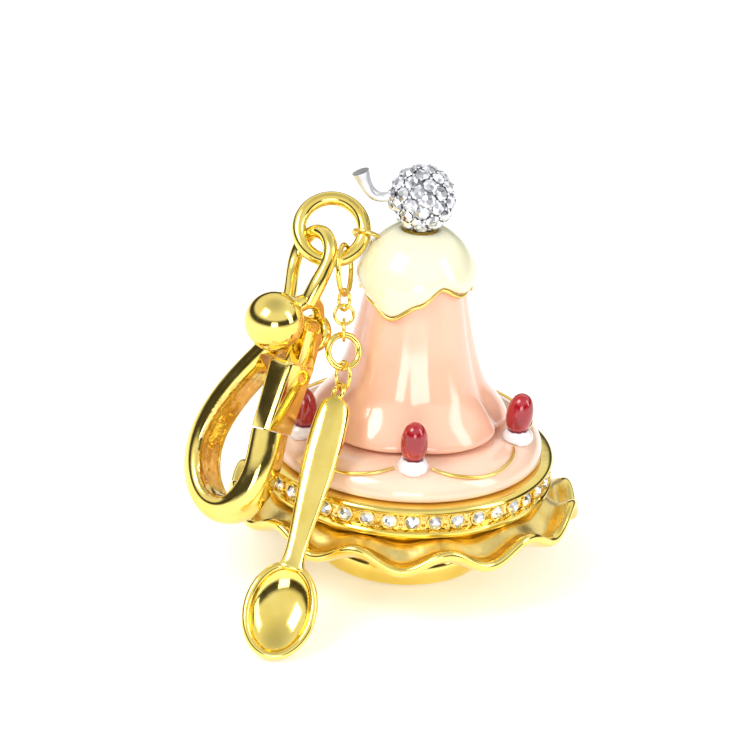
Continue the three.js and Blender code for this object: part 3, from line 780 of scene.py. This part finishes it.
# the handle is drawn out of a small block, row by row; each row is how far along and half how wide
deselectAll()
bpy.ops.mesh.primitive_cube_add(size=1)
handle = bpy.context.object
along0, half0 = spoon["rows"][0]
blockWide, blockThick, blockLong = spoon["block"]
handle.scale = (blockWide * half0 * mm, blockThick * mm, blockLong * mm)
handle.location = (0, 0, along0 * mm)
bakePlace(handle)
editAll(handle)
bpy.ops.mesh.select_all(action="DESELECT")
backToObject()
for face in handle.data.polygons:
    face.select = face.normal.z > 0.9
bpy.ops.object.mode_set(mode="EDIT")
bpy.ops.mesh.select_mode(type="FACE")
lastAlong, lastHalf, lastThick = along0, half0, spoon["firstThick"]
thickShare, thickLeast = spoon["thick"]
for along, half in spoon["rows"][1:]:
    thick = thickShare * half + thickLeast
    bpy.ops.mesh.extrude_region_move(TRANSFORM_OT_translate={"value": (0, 0, (along - lastAlong) * mm)})
    grow = (half / lastHalf, thick / lastThick, 1)
    bpy.ops.transform.resize(value=grow, center_override=(0, 0, along * mm))
    lastAlong, lastHalf, lastThick = along, half, thick
backToObject()
subdivide(handle, 3)
smooth(handle, 60)
deselectAll()
eyeRadius, eyeWire = spoon["eye"]
bpy.ops.mesh.primitive_torus_add(major_radius=eyeRadius * mm, minor_radius=eyeWire * mm,
                                 major_segments=40, minor_segments=14,
                                 rotation=(0, math.radians(90), math.radians(35)))
eye = bpy.context.object
smooth(eye)
bakePlace(eye)
obj = joinPieces(bowl, [handle, eye, rim])
bakePlace(obj, spoonPlace)
cleanUp(obj, 1e-7)
finished(obj, "spoon_fine", "spoon_body", goldPolished)
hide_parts("spoon")
print("spoon done")

# the small parts that stay as they are get their finish
for node, material in (("centre_stud", silverDark), ("cherry_seat", goldWire), ("hinge_pin", goldPolished),
                       ("gate_spring", silverBright)):
    dress(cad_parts[node], material)
    smooth(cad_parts[node], 40)

# floor and light
deselectAll()
ground = dict(size=4, at=-0.0002, speck=300, tones=[(0.3, (0.93, 0.93, 0.93)), (0.7, (0.95, 0.95, 0.95))],
              rough=0.9, glow=0.3)
bpy.ops.mesh.primitive_plane_add(size=ground["size"], location=(0, 0, ground["at"]))
floor = bpy.context.object
floor.name = "floor"
floorPaint, nodes, links, shader, where = newMaterial("floorPaint")
speck = noiseOn(nodes, links, where, ground["speck"], 2)
links.new(rampOn(nodes, links, speck, ground["tones"]), shader.inputs["Base Color"])
shader.inputs["Roughness"].default_value = ground["rough"]
shader.inputs["Emission Color"].default_value = (1, 1, 1, 1)
shader.inputs["Emission Strength"].default_value = ground["glow"]
dress(floor, floorPaint)


def softLight(name, at, aim, size, power):
    bpy.ops.object.light_add(type="AREA", location=at)
    lamp = bpy.context.object
    lamp.name = name
    lamp.data.shape = "RECTANGLE"
    lamp.data.size, lamp.data.size_y = size
    lamp.data.energy = power
    lamp.rotation_euler = (Vector(at) - Vector(aim)).to_track_quat("Z", "Y").to_euler()


lamps = dict(keyLight=((-0.25, -0.2, 0.35), (0.2, 0.2), 0.85),
             sideLight=((0.35, -0.12, 0.2), (0.12, 0.3), 0.45),
             frontLight=((0.02, -0.4, 0.08), (0.16, 0.12), 0.3))
for name, (at, size, power) in lamps.items():
    softLight(name, at, (0, 0, 0.015), size, power)

world = bpy.data.worlds.new("studio")
bpy.context.scene.world = world
world.use_nodes = True
nodes, links = world.node_tree.nodes, world.node_tree.links
backdrop = nodes["Background"]
direction = nodes.new("ShaderNodeTexCoord")
split = nodes.new("ShaderNodeSeparateXYZ")
links.new(direction.outputs["Generated"], split.inputs["Vector"])
# a dark belt just above the horizon gives the metal something dark to mirror
heightStops = [(0.0, (0.8, 0.8, 0.8)), (0.5, (0.9, 0.9, 0.9)), (0.55, (0.05, 0.045, 0.035)),
               (0.66, (0.08, 0.07, 0.06)), (0.72, (1.0, 1.0, 1.0)), (0.88, (1.0, 1.0, 1.0)),
               (1.0, (0.6, 0.6, 0.6))]
heightValue = rangeOn(nodes, links, split.outputs["Z"], 0, 1, -1, 1)
room = rampOn(nodes, links, heightValue, heightStops)
seen = nodes.new("ShaderNodeLightPath")
plain = nodes.new("ShaderNodeMixRGB")
plain.inputs["Color2"].default_value = (1.0, 1.0, 1.0, 1)
links.new(seen.outputs["Is Camera Ray"], plain.inputs["Fac"])
links.new(room, plain.inputs["Color1"])
links.new(plain.outputs["Color"], backdrop.inputs["Color"])
backdrop.inputs["Strength"].default_value = 0.95
bpy.context.scene.view_settings.view_transform = "Standard"
print("light set")
